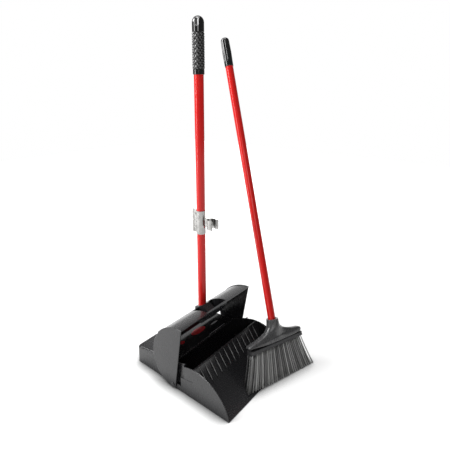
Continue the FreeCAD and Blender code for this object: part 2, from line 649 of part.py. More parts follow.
def broom_head_cap():
    """Head cap: two sloping wings and a tapered socket for the handle."""
    wings = Part.Face(Part.makePolygon(head_cap_outline())).extrude(V(0, 2.0 * CAP_DEEP, 0))
    wings = round_edges(wings, CAP_ROUND, lambda m, size: abs(abs(m.y) - CAP_DEEP) < 0.1
                        and m.z > CAP_LOW + 1.0)
    neck = Part.makeCone(SOCKET_R_LOW, SOCKET_R_TOP, SOCKET_TOP - CAP_LOW, V(0, 0, CAP_LOW))
    neck = round_edges(neck, 1.5, lambda m, size: m.z > SOCKET_TOP - 1.0 and size > 60.0)
    body = wings.fuse(neck)
    low = BROOM_TUBE_LOW
    bore = Part.makeCylinder(BROOM_TUBE_R, 60.0, V(0, 0, low - 2.0))
    thread = Part.makeCylinder(8.0, 16.0, V(0, 0, low - 16.0))
    return set_in_place(body.cut(bore.fuse(thread)).removeSplitter())


def broom_block():
    """Bristle block under the cap, with rounded ends and a groove above it."""
    block = box(-BLOCK_HALF, BLOCK_HALF, -BLOCK_DEEP, BLOCK_DEEP, BLOCK_LOW, BLOCK_LOW + BLOCK_TALL)
    block = round_edges(block, 8.0, lambda m, size: abs(abs(m.x) - BLOCK_HALF) < 0.1 and size < 11.0)
    key = box(-BLOCK_HALF + 6.0, BLOCK_HALF - 6.0, -BLOCK_DEEP + 3.0, BLOCK_DEEP - 3.0,
              BLOCK_LOW + BLOCK_TALL - 0.5, CAP_LOW)
    return set_in_place(block.fuse(key).removeSplitter())


def keep_off():
    """The floor and the ramp, thickened by the clearance that the bristle tips keep."""
    floor = box(-400.0, 600.0, -600.0, 300.0, -60.0, FLOOR_CLEAR)
    lip, middle, crest = ramp_arc(RAMP_CLEAR)
    start = (lip[0] - RAMP_CLEAR, lip[1])
    edges = [line((start[0], -1.0), start), line(start, lip), arc(lip, middle, crest)]
    edges += [line(crest, (crest[0], -1.0)), line((crest[0], -1.0), (start[0], -1.0))]
    return floor.fuse(extrude_x(edges, -PAN_HALF - 1.0, PAN_HALF + 1.0))


def bristle_row(index):
    """Fan-shaped envelope of one row of tufts, its tips trimmed by the floor and the ramp."""
    place = index - (ROW_COUNT + 1) / 2.0
    root = [(u, place * ROW_PITCH + w) for u in (-ROOT_HALF, ROOT_HALF)
            for w in (-ROW_THICK / 2.0, ROW_THICK / 2.0)]
    tip = [(u, place * ROW_TIP_PITCH + w) for u in (-TIP_HALF, TIP_HALF)
           for w in (-ROW_TIP_THICK / 2.0, ROW_TIP_THICK / 2.0)]
    order = [0, 1, 3, 2, 0]
    upper = Part.makePolygon([V(root[i][0], root[i][1], BLOCK_LOW) for i in order])
    lower = Part.makePolygon([V(tip[i][0], tip[i][1], 0.0) for i in order])
    slab = Part.makeLoft([lower, upper], True, True)
    return set_in_place(slab).cut(keep_off())


def nodes():
    """Every node's name and shape, in the order in which the set would be put together."""
    made = {
        "pan_tray": pan_tray(),
        "bin_cover": bin_cover(),
        "cover_label": cover_label(),
        "pivot_pin_left": pivot_pin(-1),
        "pivot_pin_right": pivot_pin(1),
        "pivot_retainer_left": pivot_retainer(-1),
        "pivot_retainer_right": pivot_retainer(1),
        "hood": hood(),
        "pan_handle_tube": pan_handle_tube(),
        "socket_screw": socket_screw(),
        "pan_grip": pan_grip(),
        "broom_clip": broom_clip(),
        "clip_rivets": clip_rivets(),
        "broom_tube": broom_tube(),
        "broom_thread_insert": broom_thread_insert(),
        "broom_end_cap": broom_end_cap(),
        "broom_head_cap": broom_head_cap(),
        "broom_block": broom_block(),
    }
    for index in range(1, ROW_COUNT + 1):
        made["bristle_row_%d" % index] = bristle_row(index)
    return made


os.makedirs("parts", exist_ok=True)
for name, shape in nodes().items():
    shape.exportStep("parts/%s.step" % name)
    print(name, "solids", len(shape.Solids), "volume cm3", round(shape.Volume / 1000.0, 2), shape.isValid())
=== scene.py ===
import logging
import math
from dataclasses import dataclass, field
from enum import Enum

import bpy
import numpy as np
from mathutils import Matrix, Vector


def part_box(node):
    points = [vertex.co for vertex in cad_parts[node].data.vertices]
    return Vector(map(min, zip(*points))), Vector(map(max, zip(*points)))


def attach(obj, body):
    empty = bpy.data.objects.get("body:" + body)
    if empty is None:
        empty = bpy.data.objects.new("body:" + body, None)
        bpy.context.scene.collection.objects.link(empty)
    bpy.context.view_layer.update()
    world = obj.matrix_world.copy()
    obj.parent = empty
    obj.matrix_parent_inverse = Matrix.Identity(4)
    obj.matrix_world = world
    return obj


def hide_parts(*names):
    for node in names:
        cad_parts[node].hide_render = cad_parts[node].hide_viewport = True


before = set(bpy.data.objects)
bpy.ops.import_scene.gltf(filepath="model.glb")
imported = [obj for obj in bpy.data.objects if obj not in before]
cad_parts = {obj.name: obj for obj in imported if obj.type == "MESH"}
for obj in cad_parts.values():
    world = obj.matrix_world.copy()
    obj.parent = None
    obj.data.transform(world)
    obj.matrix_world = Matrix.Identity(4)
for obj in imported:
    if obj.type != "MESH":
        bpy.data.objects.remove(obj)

SENSOR_WIDE = 36.0
RAY_HEIGHT = 0.3
FIRST_SEED = 40
TURN = 2.0 * math.pi
WHITE = (1.0, 1.0, 1.0)
Colour = tuple[float, float, float]
Ellipse = tuple[float, float, float, float]
log = logging.getLogger("pan_and_broom")


class Body(Enum):
    """The moving bodies that pieces ride on."""

    PAN = "pan"
    HOOD = "hood_and_handle"
    BROOM = "broom"


class Slot(Enum):
    """Names of the record's material slots; nothing here reads them, and the new pieces take the materials
    built in this script.
    """

    PAN = "pan_black"
    GRIP = "grip_black"
    BROOM = "broom_black"
    BRISTLE = "bristle_grey"


# Meshes


def grid_quads(rows: int, cols: int, wrap_rows: bool) -> np.ndarray:
    """Four corner numbers of every face of a grid that closes on itself along its columns.

    Vertex (i, j) has number i * cols + j. Face (i, j) runs (i, j), (i, j + 1), (i + 1, j + 1), (i + 1, j).

    Args:
        rows: number of rings.
        cols: number of points in each ring.
        wrap_rows: joins the last ring to the first.

    Returns:
        An array of shape (faces, 4).
    """
    i = np.arange(rows if wrap_rows else rows - 1)[:, None]
    j = np.arange(cols)[None, :]
    after = (i + 1) % rows
    beside = (j + 1) % cols
    corners = [i * cols + j, i * cols + beside, after * cols + beside, after * cols + j]
    return np.stack(corners, axis=-1).reshape(-1, 4)


def new_piece(name: str, points: np.ndarray, faces: list, material: bpy.types.Material) -> bpy.types.Object:
    """A smooth-shaded object at the origin from points and faces.

    Args:
        name: the object's name.
        points: vertex positions in metres, shape (n, 3).
        faces: lists of vertex numbers.
        material: the finish of the whole piece.

    Returns:
        The new object, linked to the scene.
    """
    mesh = bpy.data.meshes.new(name)
    mesh.from_pydata(points.tolist(), [], faces)
    mesh.validate()
    mesh.polygons.foreach_set("use_smooth", np.ones(len(mesh.polygons), bool))
    mesh.materials.append(material)
    mesh.update()
    piece = bpy.data.objects.new(name, mesh)
    bpy.context.scene.collection.objects.link(piece)
    return piece


def capped(grid: np.ndarray) -> tuple[np.ndarray, list]:
    """Closes a stack of rings with a fan at each end.

    The fan's tip is the mean of its ring, so a ring round an axis gets a tip on the axis.

    Args:
        grid: ring points, shape (rows, cols, 3), lowest ring first, each anticlockwise from above.

    Returns:
        The points, shape (n, 3), and the faces.
    """
    rows, cols, _ = grid.shape
    ring = np.arange(cols)
    beside = (ring + 1) % cols
    low_tip = rows * cols
    low = np.stack([np.full(cols, low_tip), beside, ring], axis=-1)
    last = (rows - 1) * cols
    high = np.stack([np.full(cols, low_tip + 1), last + ring, last + beside], axis=-1)
    tips = np.stack([grid[0].mean(axis=0), grid[-1].mean(axis=0)])
    points = np.concatenate([grid.reshape(-1, 3), tips])
    return points, grid_quads(rows, cols, False).tolist() + low.tolist() + high.tolist()


def smooth_step(x: np.ndarray, start: float, end: float) -> np.ndarray:
    """0 before start, 1 after end, and 3t^2 - 2t^3 between them."""
    t = np.clip((x - start) / (end - start), 0.0, 1.0)
    return t * t * (3.0 - 2.0 * t)


# Finishes


class Graph:
    """Nodes of one new material, around its Principled shader."""

    def __init__(self, name: str) -> None:
        """Starts the material with a shader and Object coordinates.

        Args:
            name: the material's name.
        """
        self.material = bpy.data.materials.new(name)
        self.material.use_nodes = True
        self.nodes = self.material.node_tree.nodes
        self.links = self.material.node_tree.links
        self.shader = self.nodes["Principled BSDF"]
        self.place = self.nodes.new("ShaderNodeTexCoord").outputs["Object"]

    def mapped(self, scale: Colour, offset: Colour = (0.0, 0.0, 0.0)) -> bpy.types.NodeSocket:
        """Object coordinates multiplied by scale, then moved by offset.

        Args:
            scale: factor along each axis.
            offset: shift along each axis, in scaled units.

        Returns:
            The vector socket.
        """
        mapping = self.nodes.new("ShaderNodeMapping")
        mapping.inputs["Location"].default_value = offset
        mapping.inputs["Scale"].default_value = scale
        self.links.new(self.place, mapping.inputs["Vector"])
        return mapping.outputs["Vector"]

    def noise(self, pitch: float, detail: float = 2.0,
              stretch: Colour = (1.0, 1.0, 1.0)) -> bpy.types.NodeSocket:
        """Noise whose blotches are about pitch metres wide, from 0 to 1.

        Args:
            pitch: width of a blotch in metres.
            detail: how many finer octaves it has.
            stretch: factor on the coordinates; below 1 the blotches are longer on that axis.

        Returns:
            The value socket.
        """
        texture = self.nodes.new("ShaderNodeTexNoise")
        texture.inputs["Scale"].default_value = 1.0 / pitch
        texture.inputs["Detail"].default_value = detail
        self.links.new(self.mapped(stretch), texture.inputs["Vector"])
        return texture.outputs["Fac"]

    def spread(self, source: bpy.types.NodeSocket, ends: tuple[float, float],
               span: tuple[float, float] = (0.3, 0.7)) -> bpy.types.NodeSocket:
        """A number that goes from ends[0] to ends[1] while source goes over span.

        Args:
            source: the socket that is read.
            ends: results at the two ends of span.
            span: the range of source.

        Returns:
            The value socket.
        """
        limits = self.nodes.new("ShaderNodeMapRange")
        self.links.new(source, limits.inputs["Value"])
        values = {"From Min": span[0], "From Max": span[1], "To Min": ends[0], "To Max": ends[1]}
        for name, value in values.items():
            limits.inputs[name].default_value = value
        return limits.outputs["Result"]

    def blend(self, factor: bpy.types.NodeSocket, first: Colour | bpy.types.NodeSocket,
              second: Colour | bpy.types.NodeSocket) -> bpy.types.NodeSocket:
        """Colour between first and second.

        Args:
            factor: 0 gives first and 1 gives second.
            first: a colour or a colour socket.
            second: a colour or a colour socket.

        Returns:
            The colour socket.
        """
        mix = self.nodes.new("ShaderNodeMix")
        mix.data_type = "RGBA"
        self.links.new(factor, mix.inputs[0])
        for socket, colour in ((mix.inputs[6], first), (mix.inputs[7], second)):
            if isinstance(colour, tuple):
                socket.default_value = (*colour, 1.0)
            else:
                self.links.new(colour, socket)
        return mix.outputs[2]

    def bump(self, height: bpy.types.NodeSocket, depth: float,
             below: bpy.types.NodeSocket | None = None) -> bpy.types.NodeSocket:
        """Normal of a relief, over the relief below it.

        Args:
            height: the relief's height, from 0 to 1.
            depth: its depth in metres.
            below: normal of the coarser relief that it lies on.

        Returns:
            The normal socket.
        """
        relief = self.nodes.new("ShaderNodeBump")
        relief.inputs["Strength"].default_value = 1.0
        relief.inputs["Distance"].default_value = depth
        self.links.new(height, relief.inputs["Height"])
        if below is not None:
            self.links.new(below, relief.inputs["Normal"])
        return relief.outputs["Normal"]

    def feed(self, name: str, source: bpy.types.NodeSocket) -> None:
        """Joins a socket to the shader's input of that name."""
        self.links.new(source, self.shader.inputs[name])

    def fix(self, **values: float) -> None:
        """Sets plain numbers on the shader's inputs, named with _ for a space."""
        for name, value in values.items():
            self.shader.inputs[name.replace("_", " ")].default_value = value


@dataclass(frozen=True)
class MouldedPlastic:
    """Injection-moulded plastic: faint colour drift, flow waves, fine grain and handling marks."""

    name: str
    deep: Colour
    pale: Colour
    gloss: tuple[float, float]
    grain_pitch: float = 0.0011
    grain_depth: float = 0.000012
    wave_depth: float = 0.0002
    shine: float = 0.5

    def build(self) -> bpy.types.Material:
        """Colour, roughness and relief come from noise on Object coordinates.

        Returns:
            The material.
        """
        graph = Graph(self.name)
        graph.feed("Base Color", graph.blend(graph.noise(0.05, 3.0), self.deep, self.pale))
        marks = graph.noise(0.004, 4.0, (1.0, 1.0, 0.12))
        graph.feed("Roughness", graph.spread(marks, self.gloss))
        waves = graph.bump(graph.noise(0.035, 1.0), self.wave_depth)
        graph.feed("Normal", graph.bump(graph.noise(self.grain_pitch, 2.0), self.grain_depth, waves))
        graph.fix(Specular_IOR_Level=self.shine, IOR=1.5)
        return graph.material


@dataclass(frozen=True)
class Lacquer:
    """Baked enamel on a steel tube: colour coat under a clear, slightly rippled gloss."""

    name: str
    deep: Colour
    pale: Colour
    gloss: tuple[float, float] = (0.16, 0.24)
    ripple: float = 0.00002

    def build(self) -> bpy.types.Material:
        """The clouds and the ripples are longer along the tube than across it.

        Returns:
            The material.
        """
        graph = Graph(self.name)
        graph.feed("Base Color", graph.blend(graph.noise(0.03, 2.0, (1.0, 1.0, 0.3)), self.deep, self.pale))
        graph.feed("Roughness", graph.spread(graph.noise(0.006, 3.0, (1.0, 1.0, 0.2)), self.gloss))
        graph.feed("Normal", graph.bump(graph.noise(0.004, 1.0, (1.0, 1.0, 0.3)), self.ripple))
        graph.fix(Specular_IOR_Level=0.17, IOR=1.5, Coat_Weight=0.12, Coat_Roughness=0.1)
        return graph.material


@dataclass(frozen=True)
class PlatedSteel:
    """Bright plated steel with the fine lines of the rolling mill."""

    name: str
    deep: Colour = (0.16, 0.158, 0.154)
    pale: Colour = (0.37, 0.365, 0.355)
    gloss: tuple[float, float] = (0.18, 0.32)
    lines: Colour = (1.0, 1.0, 0.08)

    def build(self) -> bpy.types.Material:
        """Gloss and relief follow the rolled lines, and the colour drifts in faint clouds.

        Returns:
            The material.
        """
        graph = Graph(self.name)
        rolled = graph.noise(0.0012, 3.0, self.lines)
        cloud = graph.noise(0.012, 2.0)
        graph.feed("Base Color", graph.blend(cloud, self.deep, self.pale))
        graph.feed("Roughness", graph.spread(rolled, self.gloss))
        graph.feed("Normal", graph.bump(rolled, 0.00001))
        graph.fix(Metallic=1.0)
        return graph.material


@dataclass(frozen=True)
class Filament:
    """Bristle plastic: each filament's colour comes from the piece's shade attribute, a random tone with
    painted shade on the rows behind the front one.
    """

    name: str
    deep: Colour
    pale: Colour
    attribute: str = "shade"

    def build(self) -> bpy.types.Material:
        """The shade picks the colour, and short noise varies the gloss.

        Returns:
            The material.
        """
        graph = Graph(self.name)
        shade = graph.nodes.new("ShaderNodeAttribute")
        shade.attribute_name = self.attribute
        graph.feed("Base Color", graph.blend(shade.outputs["Fac"], self.deep, self.pale))
        graph.feed("Roughness", graph.spread(graph.noise(0.01, 2.0), (0.35, 0.5)))
        graph.fix(Specular_IOR_Level=0.5, IOR=1.5)
        return graph.material


@dataclass(frozen=True)
class LabelFilm:
    """Glossy printed film: a dark ground with plain ellipses on it.

    An ellipse is its centre (u, v) and its half sizes, in halves of the film's width and depth.
    """

    name: str
    ground: Colour = (0.008, 0.008, 0.009)
    ground_pale: Colour = (0.014, 0.014, 0.015)
    red: Colour = (0.42, 0.015, 0.02)
    grey: Colour = (0.4, 0.4, 0.4)
    red_spots: tuple[Ellipse, ...] = ((0.04, 0.56, 0.31, 0.44), (-0.77, 0.45, 0.10, 0.26))
    grey_spots: tuple[Ellipse, ...] = ((0.48, -0.90, 0.42, 0.03), (0.72, 0.18, 0.18, 0.11))
    soft_edge: tuple[float, float] = (0.96, 1.04)

    def inside(self, graph: Graph, spot: Ellipse) -> bpy.types.NodeSocket:
        """1 inside an ellipse of the film and 0 outside, from the length of (x / a, y / b) against 1.

        Args:
            graph: the material's nodes.
            spot: the ellipse.

        Returns:
            The value socket.
        """
        low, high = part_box("cover_label")
        across = (high.x - low.x) / 2.0
        deep = (high.y - low.y) / 2.0
        x = (low.x + high.x) / 2.0 + spot[0] * across
        y = (low.y + high.y) / 2.0 + spot[1] * deep
        half_x, half_y = spot[2] * across, spot[3] * deep
        length = graph.nodes.new("ShaderNodeVectorMath")
        length.operation = "LENGTH"
        scaled = graph.mapped((1.0 / half_x, 1.0 / half_y, 0.0), (-x / half_x, -y / half_y, 0.0))
        graph.links.new(scaled, length.inputs[0])
        return graph.spread(length.outputs["Value"], (1.0, 0.0), self.soft_edge)

    def build(self) -> bpy.types.Material:
        """The ground, then the red ellipses, then the grey ones.

        Returns:
            The material.
        """
        graph = Graph(self.name)
        colour = graph.blend(graph.noise(0.02, 2.0), self.ground, self.ground_pale)
        for spots, ink in ((self.red_spots, self.red), (self.grey_spots, self.grey)):
            for spot in spots:
                colour = graph.blend(self.inside(graph, spot), colour, ink)
        graph.feed("Base Color", colour)
        graph.feed("Roughness", graph.spread(graph.noise(0.008, 2.0), (0.16, 0.26)))
        graph.fix(Specular_IOR_Level=0.5, IOR=1.5)
        return graph.material


def dress(node: str, material: bpy.types.Material) -> None:
    """Gives a CAD node its finish.

    Args:
        node: the node's name.
        material: the finish.
    """
    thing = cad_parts[node]
    if not thing.material_slots:
        thing.data.materials.append(material)
    for slot in thing.material_slots:
        slot.material = material
    log.info("%s: %s", node, material.name)


# Studio


@dataclass(frozen=True)
class Softbox:
    """A rectangular lamp."""

    name: str
    place: Colour
    aim: Colour
    size: tuple[float, float]
    power: float

    def build(self) -> None:
        """Adds the lamp, hidden from the camera itself."""
        data = bpy.data.lights.new(self.name, "AREA")
        data.shape = "RECTANGLE"
        data.size, data.size_y = self.size
        data.energy = self.power
        lamp = bpy.data.objects.new(self.name, data)
        lamp.location = self.place
        lamp.rotation_euler = (Vector(self.aim) - Vector(self.place)).to_track_quat("-Z", "Y").to_euler()
        lamp.visible_camera = False
        bpy.context.scene.collection.objects.link(lamp)


@dataclass
class Studio:
    """Pale floor, soft lamps, surroundings and camera."""

    floor_half: float = 4.0
    floor_colour: Colour = (0.5, 0.5, 0.5)
    contact_shadow_colour: Colour = (0.04, 0.04, 0.04)
    contact_shadow_glow: Colour = (0.1, 0.1, 0.1)
    floor_glow: tuple[float, float] = (0.42, 1.3)
    contact_reach: float = 0.05
    glow_reach: tuple[float, float] = (0.25, 1.6)
    surround: float = 0.16
    lens: float = 29.92
    place: Colour = (-0.7167, -0.6283, 0.7903)
    heading: float = 51.12
    dip: float = 20.68
    roll: float = 0.30
    shift: tuple[float, float] = (0.0076, 0.0124)
    lamps: list[Softbox] = field(default_factory=lambda: [
        Softbox("left_back_strip", (-1.9, 1.3, 0.9), (0.0, 0.0, 0.3), (0.55, 1.9), 44.0),
        Softbox("overhead_softbox", (-0.2, 0.2, 2.3), (0.0, 0.0, 0.0), (1.6, 1.6), 34.0),
        Softbox("high_back_spot", (-0.85, 1.4, 1.75), (0.0, 0.0, 0.1), (1.0, 1.0), 60.0),
        Softbox("right_back_panel", (2.1, 1.8, 0.9), (0.0, 0.0, 0.2), (2.0, 1.8), 9.0),
        Softbox("front_left_fill", (-1.9, -1.6, 1.5), (0.0, 0.0, 0.3), (1.0, 1.0), 16.0),
    ])

    def build(self) -> None:
        """Everything round the object."""
        self.add_floor()
        self.add_world()
        self.add_camera()
        for lamp in self.lamps:
            lamp.build()
        bpy.context.scene.view_settings.view_transform = "Standard"

    def add_floor(self) -> None:
        """A square floor on z = 0 that glows, more so far away, so that it stays pale to the horizon.

        It darkens where the object nearly touches it, over contact_reach: a painted contact shadow from
        ambient occlusion, in both its colour and its glow.
        """
        half = self.floor_half
        mesh = bpy.data.meshes.new("floor")
        corners = [(-half, -half, 0.0), (half, -half, 0.0), (half, half, 0.0), (-half, half, 0.0)]
        mesh.from_pydata(corners, [], [(0, 1, 2, 3)])
        graph = Graph("floor_paper")
        graph.fix(Roughness=0.9, Specular_IOR_Level=0.0)
        distance = graph.nodes.new("ShaderNodeVectorMath")
        distance.operation = "LENGTH"
        graph.links.new(graph.place, distance.inputs[0])
        glow = graph.spread(distance.outputs["Value"], self.floor_glow, self.glow_reach)
        graph.feed("Emission Strength", glow)
        # Painted contact shadow: ambient occlusion darkens the floor's colour and glow near the object.
        gap = graph.nodes.new("ShaderNodeAmbientOcclusion")
        gap.inputs["Distance"].default_value = self.contact_reach
        free = graph.spread(gap.outputs["AO"], (0.0, 1.0), (0.45, 0.95))
        graph.feed("Base Color", graph.blend(free, self.contact_shadow_colour, self.floor_colour))
        graph.feed("Emission Color", graph.blend(free, self.contact_shadow_glow, WHITE))
        mesh.materials.append(graph.material)
        floor = bpy.data.objects.new("floor", mesh)
        bpy.context.scene.collection.objects.link(floor)

    def add_world(self) -> None:
        """White behind everything, and a dimmer surround for light and reflections."""
        world = bpy.data.worlds.new("surround")
        world.use_nodes = True
        nodes = world.node_tree.nodes
        links = world.node_tree.links
        nodes.clear()
        path = nodes.new("ShaderNodeLightPath")
        mix = nodes.new("ShaderNodeMixShader")
        dim = nodes.new("ShaderNodeBackground")
        white = nodes.new("ShaderNodeBackground")
        end = nodes.new("ShaderNodeOutputWorld")
        dim.inputs["Strength"].default_value = self.surround
        for background in (dim, white):
            background.inputs["Color"].default_value = (*WHITE, 1.0)
        links.new(path.outputs["Is Camera Ray"], mix.inputs[0])
        links.new(dim.outputs[0], mix.inputs[1])
        links.new(white.outputs[0], mix.inputs[2])
        links.new(mix.outputs[0], end.inputs["Surface"])
        bpy.context.scene.world = world

    def add_camera(self) -> None:
        """Camera from its heading (from +Y towards +X), dip below level and roll, in degrees."""
        heading, dip, roll = (math.radians(a) for a in (self.heading, self.dip, self.roll))
        ahead = Vector((math.sin(heading) * math.cos(dip), math.cos(heading) * math.cos(dip), -math.sin(dip)))
        level = Vector((math.cos(heading), -math.sin(heading), 0.0))
        upright = level.cross(ahead)
        right = level * math.cos(roll) + upright * math.sin(roll)
        above = upright * math.cos(roll) - level * math.sin(roll)
        data = bpy.data.cameras.new("camera")
        data.lens = self.lens
        data.sensor_width = SENSOR_WIDE
        data.shift_x, data.shift_y = self.shift
        camera = bpy.data.objects.new("camera", data)
        turn = Matrix((right, above, -ahead)).transposed().to_4x4()
        camera.matrix_world = Matrix.Translation(self.place) @ turn
        bpy.context.scene.collection.objects.link(camera)
        bpy.context.scene.camera = camera


# The pan


@dataclass
class DustPan:
    """Tray with its comb, bin cover with its label, and the pivot pins."""

    ribs: int = 13
    rib_pitch: float = 0.0206
    bead_radius: float = 0.00125
    bead_reach: tuple[float, float] = (0.0900, 0.1205)
    bead_sides: int = 8
    bead_stations: int = 25
    # Pale grey on the comb's rib edges is a painted highlight; the ribs are black plastic like the tray.
    comb: MouldedPlastic = MouldedPlastic(
        "comb_painted_highlight", (0.13, 0.13, 0.13), (0.24, 0.24, 0.24), (0.3, 0.45))
    shell: MouldedPlastic = MouldedPlastic(
        "pan_shell", (0.009, 0.009, 0.010), (0.014, 0.014, 0.015), (0.18, 0.32))
    pins: MouldedPlastic = MouldedPlastic(
        "pivot_plastic", (0.010, 0.010, 0.011), (0.016, 0.016, 0.017), (0.3, 0.4))
    label: LabelFilm = LabelFilm("cover_film")
    ring: PlatedSteel = PlatedSteel("retainer_steel")

    def build(self) -> None:
        """Dresses the pan's nodes and adds the edges of its comb, painted pale as highlights."""
        black = self.shell.build()
        pins = self.pins.build()
        steel = self.ring.build()
        dress("pan_tray", black)
        dress("bin_cover", black)
        dress("cover_label", self.label.build())
        for side in ("left", "right"):
            dress(f"pivot_pin_{side}", pins)
            dress(f"pivot_retainer_{side}", steel)
        self.add_comb_beads(self.comb.build())

    def add_comb_beads(self, material: bpy.types.Material) -> None:
        """Rounded free edges of the comb's ribs, pale grey as a painted highlight on the black plastic.

        The path is the middle rib's edge, found by rays sent down on the tray. A bead is a tube round
        it: path point + radius * (cos(a) X + sin(a) N), where N is across the path in the YZ plane, and
        every rib has the same tube, moved along X. The radius falls off at both ends as the root of half
        a sine wave.

        Args:
            material: the finish of the beads, pale as a painted highlight.
        """
        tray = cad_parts["pan_tray"]
        low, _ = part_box("pan_tray")
        y = low.y + np.linspace(*self.bead_reach, self.bead_stations)
        z = np.zeros_like(y)
        for i, spot in enumerate(y):
            _, where, _, _ = tray.ray_cast(Vector((0.0, spot, RAY_HEIGHT)), Vector((0.0, 0.0, -1.0)))
            z[i] = where.z
        path = np.stack([np.zeros_like(y), y, z], axis=-1)
        along = np.gradient(path, axis=0)
        along = along / np.linalg.norm(along, axis=1)[:, None]
        across = np.array([1.0, 0.0, 0.0])
        normal = np.cross(across, along)
        angle = np.arange(self.bead_sides) * TURN / self.bead_sides
        swell = np.sin(np.linspace(0.06, 0.94, len(y)) * math.pi)
        radius = self.bead_radius * np.sqrt(swell)
        centre = path - 0.5 * self.bead_radius * normal
        ring = np.cos(angle)[None, :, None] * across + np.sin(angle)[None, :, None] * normal[:, None, :]
        one, faces = capped(centre[:, None, :] + radius[:, None, None] * ring[:, ::-1])
        shifts = (np.arange(self.ribs) - (self.ribs - 1) / 2.0) * self.rib_pitch
        points = (one[None] + shifts[:, None, None] * across).reshape(-1, 3)
        every = [[corner + k * len(one) for corner in face] for k in range(self.ribs) for face in faces]
        beads = new_piece("comb_beads", points, every, material)
        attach(beads, Body.PAN.value)
        log.info("comb_beads: %d faces", len(beads.data.polygons))


# The hood and its handle


@dataclass
class HoodAndHandle:
    """Hood, enamelled tube, hand grip, screw, and the clip that holds the broom."""

    around: int = 9
    row_pitch: float = 0.0108
    collar: float = 0.011
    crown: float = 0.034
    core_radius: float = 0.0126
    bump: float = 0.0021
    skin: float = 0.0003
    sunk: float = 0.0006
    fade: float = 0.0015
    per_bump: int = 16
    hood: MouldedPlastic = MouldedPlastic(
        "hood_shell", (0.007, 0.007, 0.008), (0.011, 0.011, 0.012), (0.17, 0.30))
    grip: MouldedPlastic = MouldedPlastic(
        "grip_rubber", (0.004, 0.004, 0.004), (0.007, 0.007, 0.007), (0.07, 0.14), wave_depth=0.00005)
    enamel: Lacquer = Lacquer("handle_enamel", (0.37, 0.007, 0.006), (0.43, 0.010, 0.009))
    sheet: PlatedSteel = PlatedSteel("clip_steel")
    rivet: PlatedSteel = PlatedSteel("rivet_steel", gloss=(0.2, 0.32), lines=(1.0, 1.0, 1.0))
    screw: PlatedSteel = PlatedSteel(
        "screw_steel", (0.3, 0.3, 0.31), (0.45, 0.45, 0.46), lines=(1.0, 1.0, 1.0))

    def build(self) -> None:
        """Dresses the nodes and adds the bumps of the hand grip."""
        dress("hood", self.hood.build())
        rubber = self.grip.build()
        dress("pan_grip", rubber)
        dress("pan_handle_tube", self.enamel.build())
        dress("broom_clip", self.sheet.build())
        dress("clip_rivets", self.rivet.build())
        dress("socket_screw", self.screw.build())
        self.add_grip_sleeve(rubber)

    def relief(self, angle: np.ndarray, height: np.ndarray, tall: float) -> np.ndarray:
        """Radius of the hand hold at an angle and a height above its lower end.

        Two crossing sets of slanting grooves leave pointed lozenges. With p = angle * around / turn and
        q = height / row_pitch, the grooves lie where p + q or p - q is whole. With d the larger of the two
        distances from mid-way between grooves, from 0 to 1, the rise is bump * (1 - d)^0.75, and it fades
        at both ends of the hold.

        Args:
            angle: angle round the grip in radians.
            height: height above the hold's lower end in metres.
            tall: height of the whole hold.

        Returns:
            The radius, in the shape of the two arrays together.
        """
        p = angle * self.around / TURN
        q = height / self.row_pitch
        rising = np.abs(2.0 * ((p - q) % 1.0) - 1.0)
        falling = np.abs(2.0 * ((p + q) % 1.0) - 1.0)
        reach = (1.0 - np.maximum(rising, falling)) ** 0.75
        ends = smooth_step(height, 0.0, self.fade) * smooth_step(tall - height, 0.0, self.fade)
        return self.core_radius + self.skin * ends + self.bump * reach * ends

    def add_grip_sleeve(self, material: bpy.types.Material) -> None:
        """A closed sleeve of bumps: the relief outside, a plain bore inside.

        Args:
            material: the finish of the sleeve.
        """
        low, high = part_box("pan_grip")
        centre = (low + high) / 2.0
        start = low.z + self.collar
        tall = high.z - self.crown - start
        rows = int(round(tall / self.row_pitch * self.per_bump))
        cols = self.around * self.per_bump
        angle = np.arange(cols)[None, :] * TURN / cols
        height = np.linspace(0.0, tall, rows)[:, None]
        outside = self.relief(angle, height, tall)
        bore = np.full((2, cols), self.core_radius - self.sunk)
        radius = np.concatenate([outside, bore])
        level = np.concatenate([np.broadcast_to(height, (rows, 1)), [[tall], [0.0]]])
        x = centre.x + radius * np.cos(angle)
        y = centre.y + radius * np.sin(angle)
        z = start + np.broadcast_to(level, radius.shape)
        points = np.stack([x, y, z], axis=-1).reshape(-1, 3)
        sleeve = new_piece("grip_sleeve", points, grid_quads(rows + 2, cols, True).tolist(), material)
        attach(sleeve, Body.HOOD.value)
        log.info("grip_sleeve: %d faces", len(sleeve.data.polygons))


# The broom


@dataclass(frozen=True)
class Axes:
    """The broom's own frame: u along the head, w from front to back, v up the handle."""

    origin: np.ndarray
    u: np.ndarray
    w: np.ndarray
    v: np.ndarray

    def place(self, u: np.ndarray, w: np.ndarray, v: np.ndarray) -> np.ndarray:
        """World points of broom coordinates."""
        return self.origin + u[..., None] * self.u + w[..., None] * self.w + v[..., None] * self.v

    def measure(self, points: np.ndarray) -> np.ndarray:
        """Broom coordinates (u, w, v) of world points."""
        return (points - self.origin) @ np.stack([self.u, self.w, self.v], axis=-1)


def node_points(node: str) -> np.ndarray:
    """World positions of a CAD node's vertices.

    Args:
        node: the node's name.

    Returns:
        Points of shape (n, 3).
    """
    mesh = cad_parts[node].data
    flat = np.zeros(len(mesh.vertices) * 3)
    mesh.vertices.foreach_get("co", flat)
    return flat.reshape(-1, 3)


def longest_way(points: np.ndarray) -> np.ndarray:
    """Unit vector along which points spread most."""
    spread = points - (points.min(axis=0) + points.max(axis=0)) / 2.0
    return np.linalg.svd(spread, full_matrices=False)[2][0]


